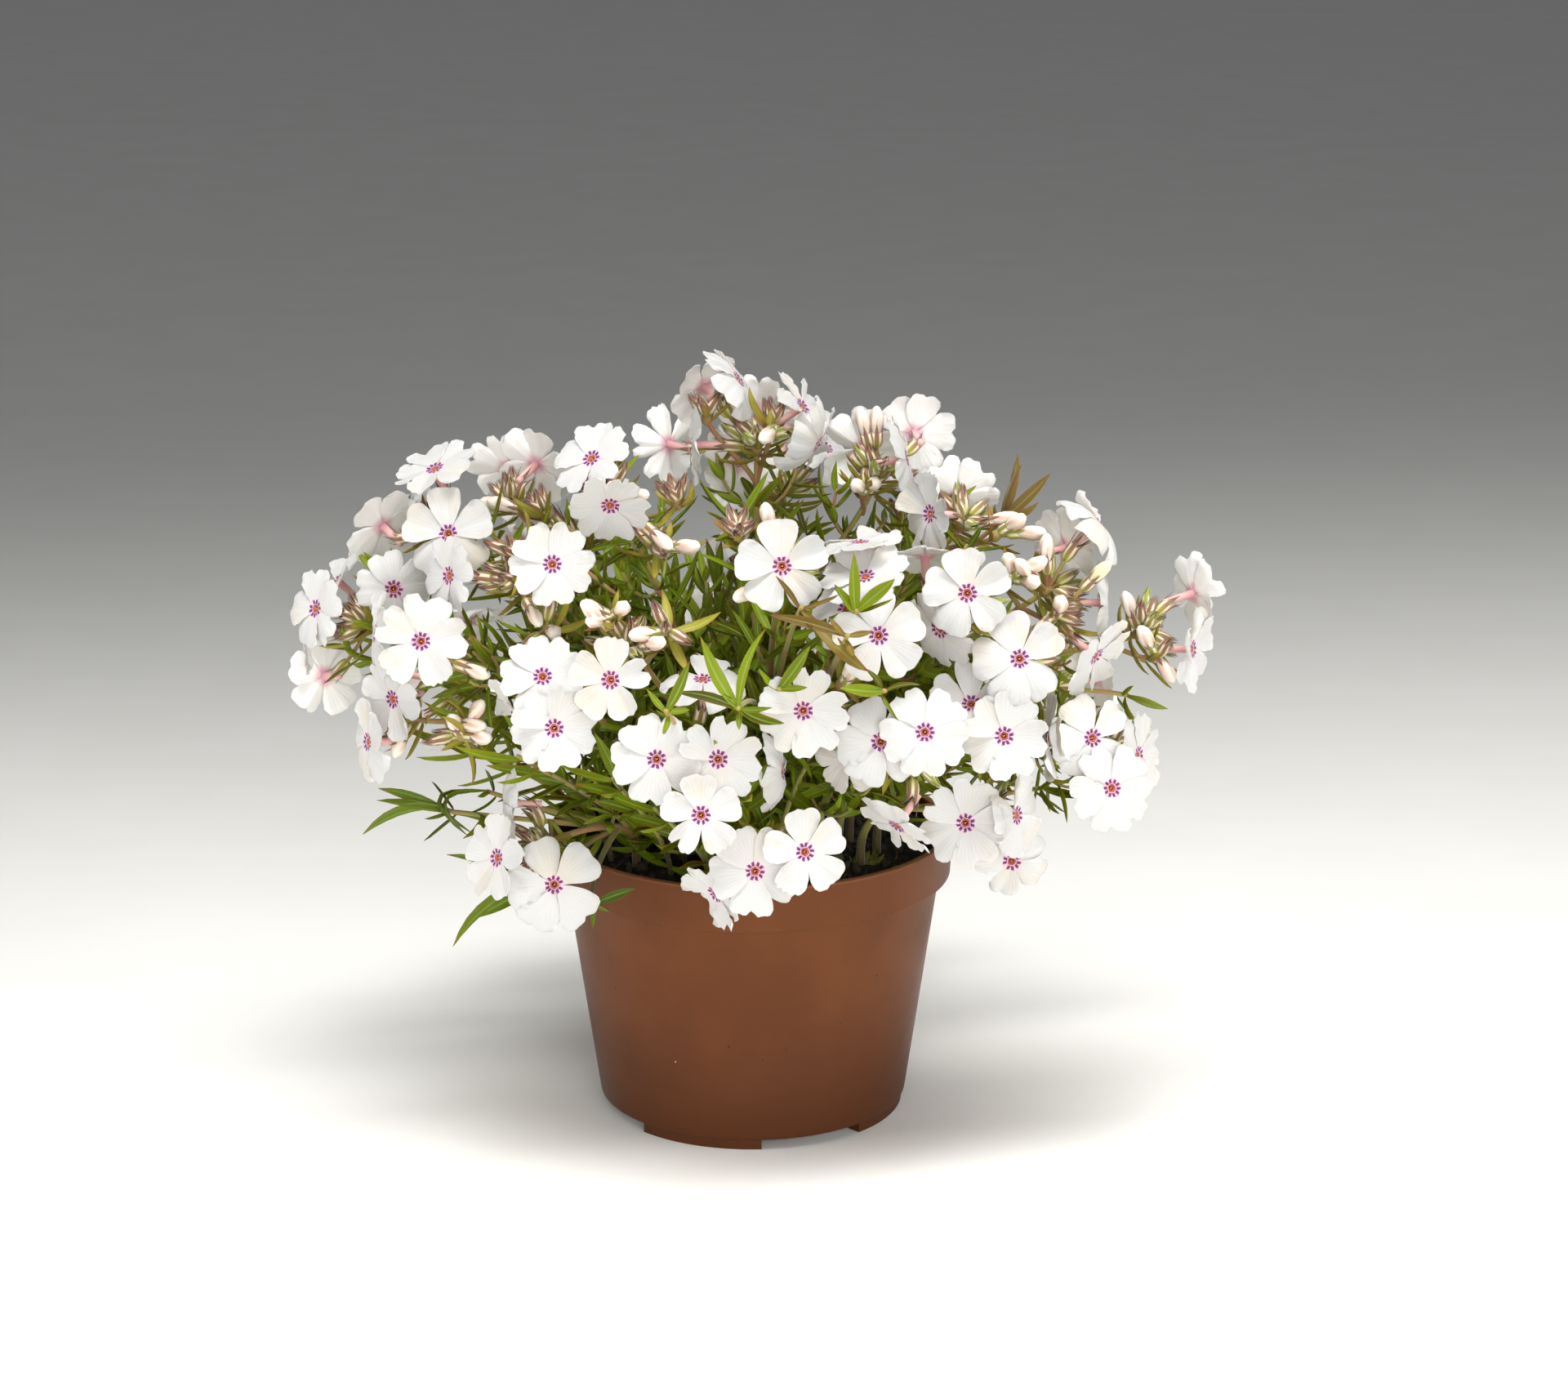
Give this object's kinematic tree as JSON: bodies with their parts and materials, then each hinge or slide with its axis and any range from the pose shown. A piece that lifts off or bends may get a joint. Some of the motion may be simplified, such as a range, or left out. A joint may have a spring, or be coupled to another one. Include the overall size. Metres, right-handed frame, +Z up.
{
  "type": "potted phlox plant",
  "caption": "Creeping phlox in full bloom: a dome of small white five-petalled flowers on thin leafy stems, rooted in dark peat in a round moulded plastic nursery pot.",
  "frame": {"origin": "on the surface that the pot's feet stand on, at the middle of the plant's plan; the pot's own axis is the Z axis", "axes": "+Z up along the pot's axis, -Y towards the plant's fullest side, +X along its widest spread, to the right of someone who looks along +Y"},
  "size_m": [0.2389, 0.1683, 0.2],
  "materials": {
    "pot_plastic": "satin, moulded",
    "peat": "rough, crumbly",
    "petal": "soft, slightly see-through",
    "foliage": "satin, finely haired"
  },
  "bodies": {
    "root": {"head_back_high_left": "petal", "head_back_high_right": "petal", "head_back_left": "petal", "head_back_low_left": "petal", "head_back_low_right": "petal", "head_back_middle": "petal", "head_back_right": "petal", "head_back_top": "petal", "head_center": "petal", "head_core": "petal", "head_far_right": "petal", "head_heart": "petal", "head_heart_high": "petal", "head_left_back": "petal", "head_left_crest": "petal", "head_left_face": "petal", "head_left_heart": "petal", "head_left_high": "petal", "head_left_low": "petal", "head_left_out": "petal", "head_left_skirt": "petal", "head_low_front": "petal", "head_mid_left": "petal", "head_mid_right": "petal", "head_right_edge": "petal", "head_right_face": "petal", "head_right_heart": "petal", "head_right_low": "petal", "head_right_out": "petal", "head_right_skirt": "petal", "head_right_upper": "petal", "head_top": "petal", "head_top_back": "petal", "head_top_right": "petal", "pot": "pot_plastic", "soil": "peat", "stem_back_left": "foliage", "stem_back_low_left": "foliage", "stem_back_low_right": "foliage", "stem_back_middle": "foliage", "stem_back_right": "foliage", "stem_core": "foliage", "stem_heart": "foliage", "stem_left_crest": "foliage", "stem_left_heart": "foliage", "stem_left_high": "foliage", "stem_left_out": "foliage", "stem_left_skirt": "foliage", "stem_low_front": "foliage", "stem_mid_left": "foliage", "stem_mid_right": "foliage", "stem_right_edge": "foliage", "stem_right_face": "foliage", "stem_right_heart": "foliage", "stem_right_out": "foliage", "stem_right_skirt": "foliage", "stem_right_upper": "foliage", "stem_top": "foliage", "stem_top_right": "foliage"}
  },
  "joints": []
}
